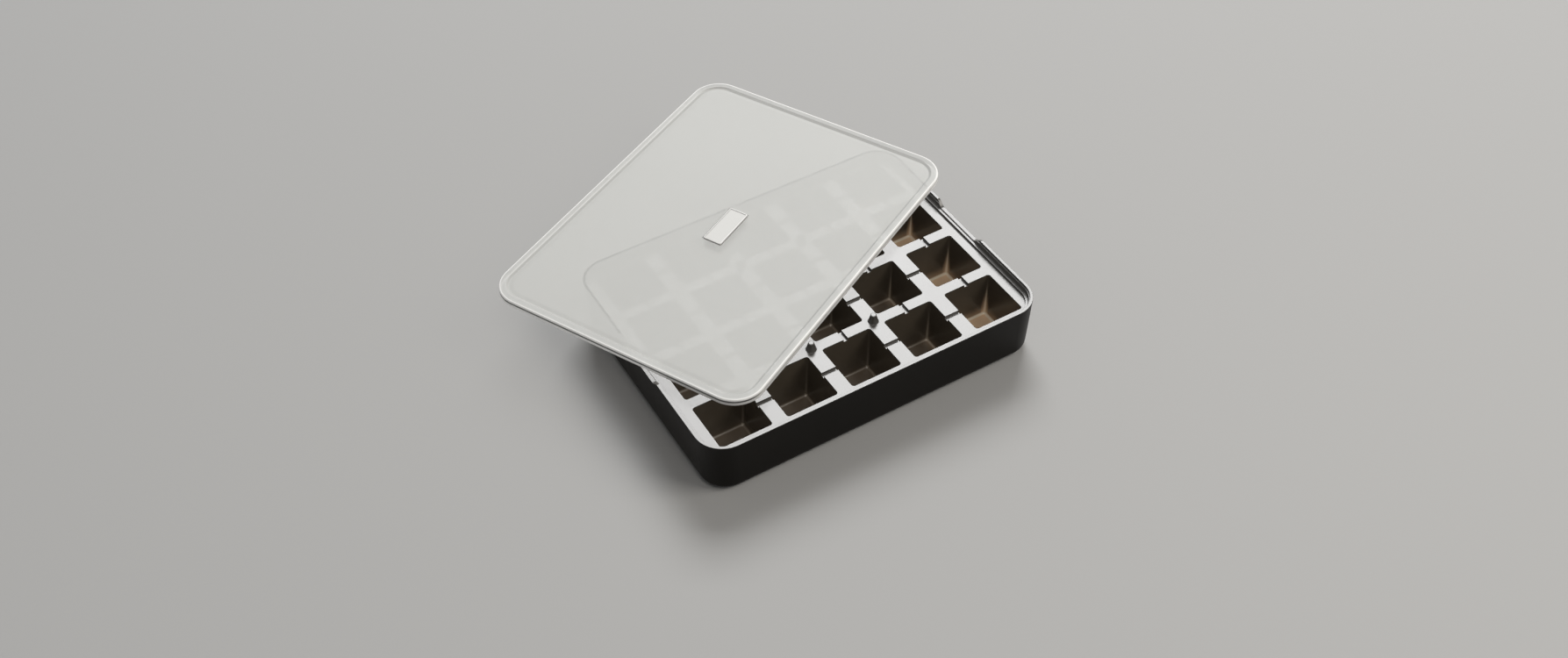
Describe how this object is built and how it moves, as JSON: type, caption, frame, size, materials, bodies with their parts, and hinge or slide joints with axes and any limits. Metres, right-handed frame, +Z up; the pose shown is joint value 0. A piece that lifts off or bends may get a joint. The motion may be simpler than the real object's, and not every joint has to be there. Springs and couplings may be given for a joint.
{
  "type": "ice cube tray with lid",
  "caption": "Soft moulded ice cube tray with a grid of square tapered cells, a raised rim with finger notches, and a frosted flat lid lying askew on it.",
  "frame": {"origin": "centre of the tray's outline on its resting plane, the plane of the pads under the cells", "axes": "+Z up, +X along the tray's long side with five columns of cells, +Y along its four rows, away from the viewer"},
  "size_m": [0.2582, 0.2568, 0.0402],
  "materials": {
    "tray_silicone": "satin moulded silicone",
    "lid_plastic": "frosted translucent",
    "badge_plastic": "satin, bare"
  },
  "bodies": {
    "tray": {"tray": "tray_silicone"},
    "lid": {"lid": "lid_plastic", "badge_plate": "badge_plastic"}
  },
  "joints": [
    {"name": "lid_lift", "type": "slide", "parent": "tray", "child": "lid", "axis": [0, 0, 1], "range_m": [0, 0.06]}
  ]
}
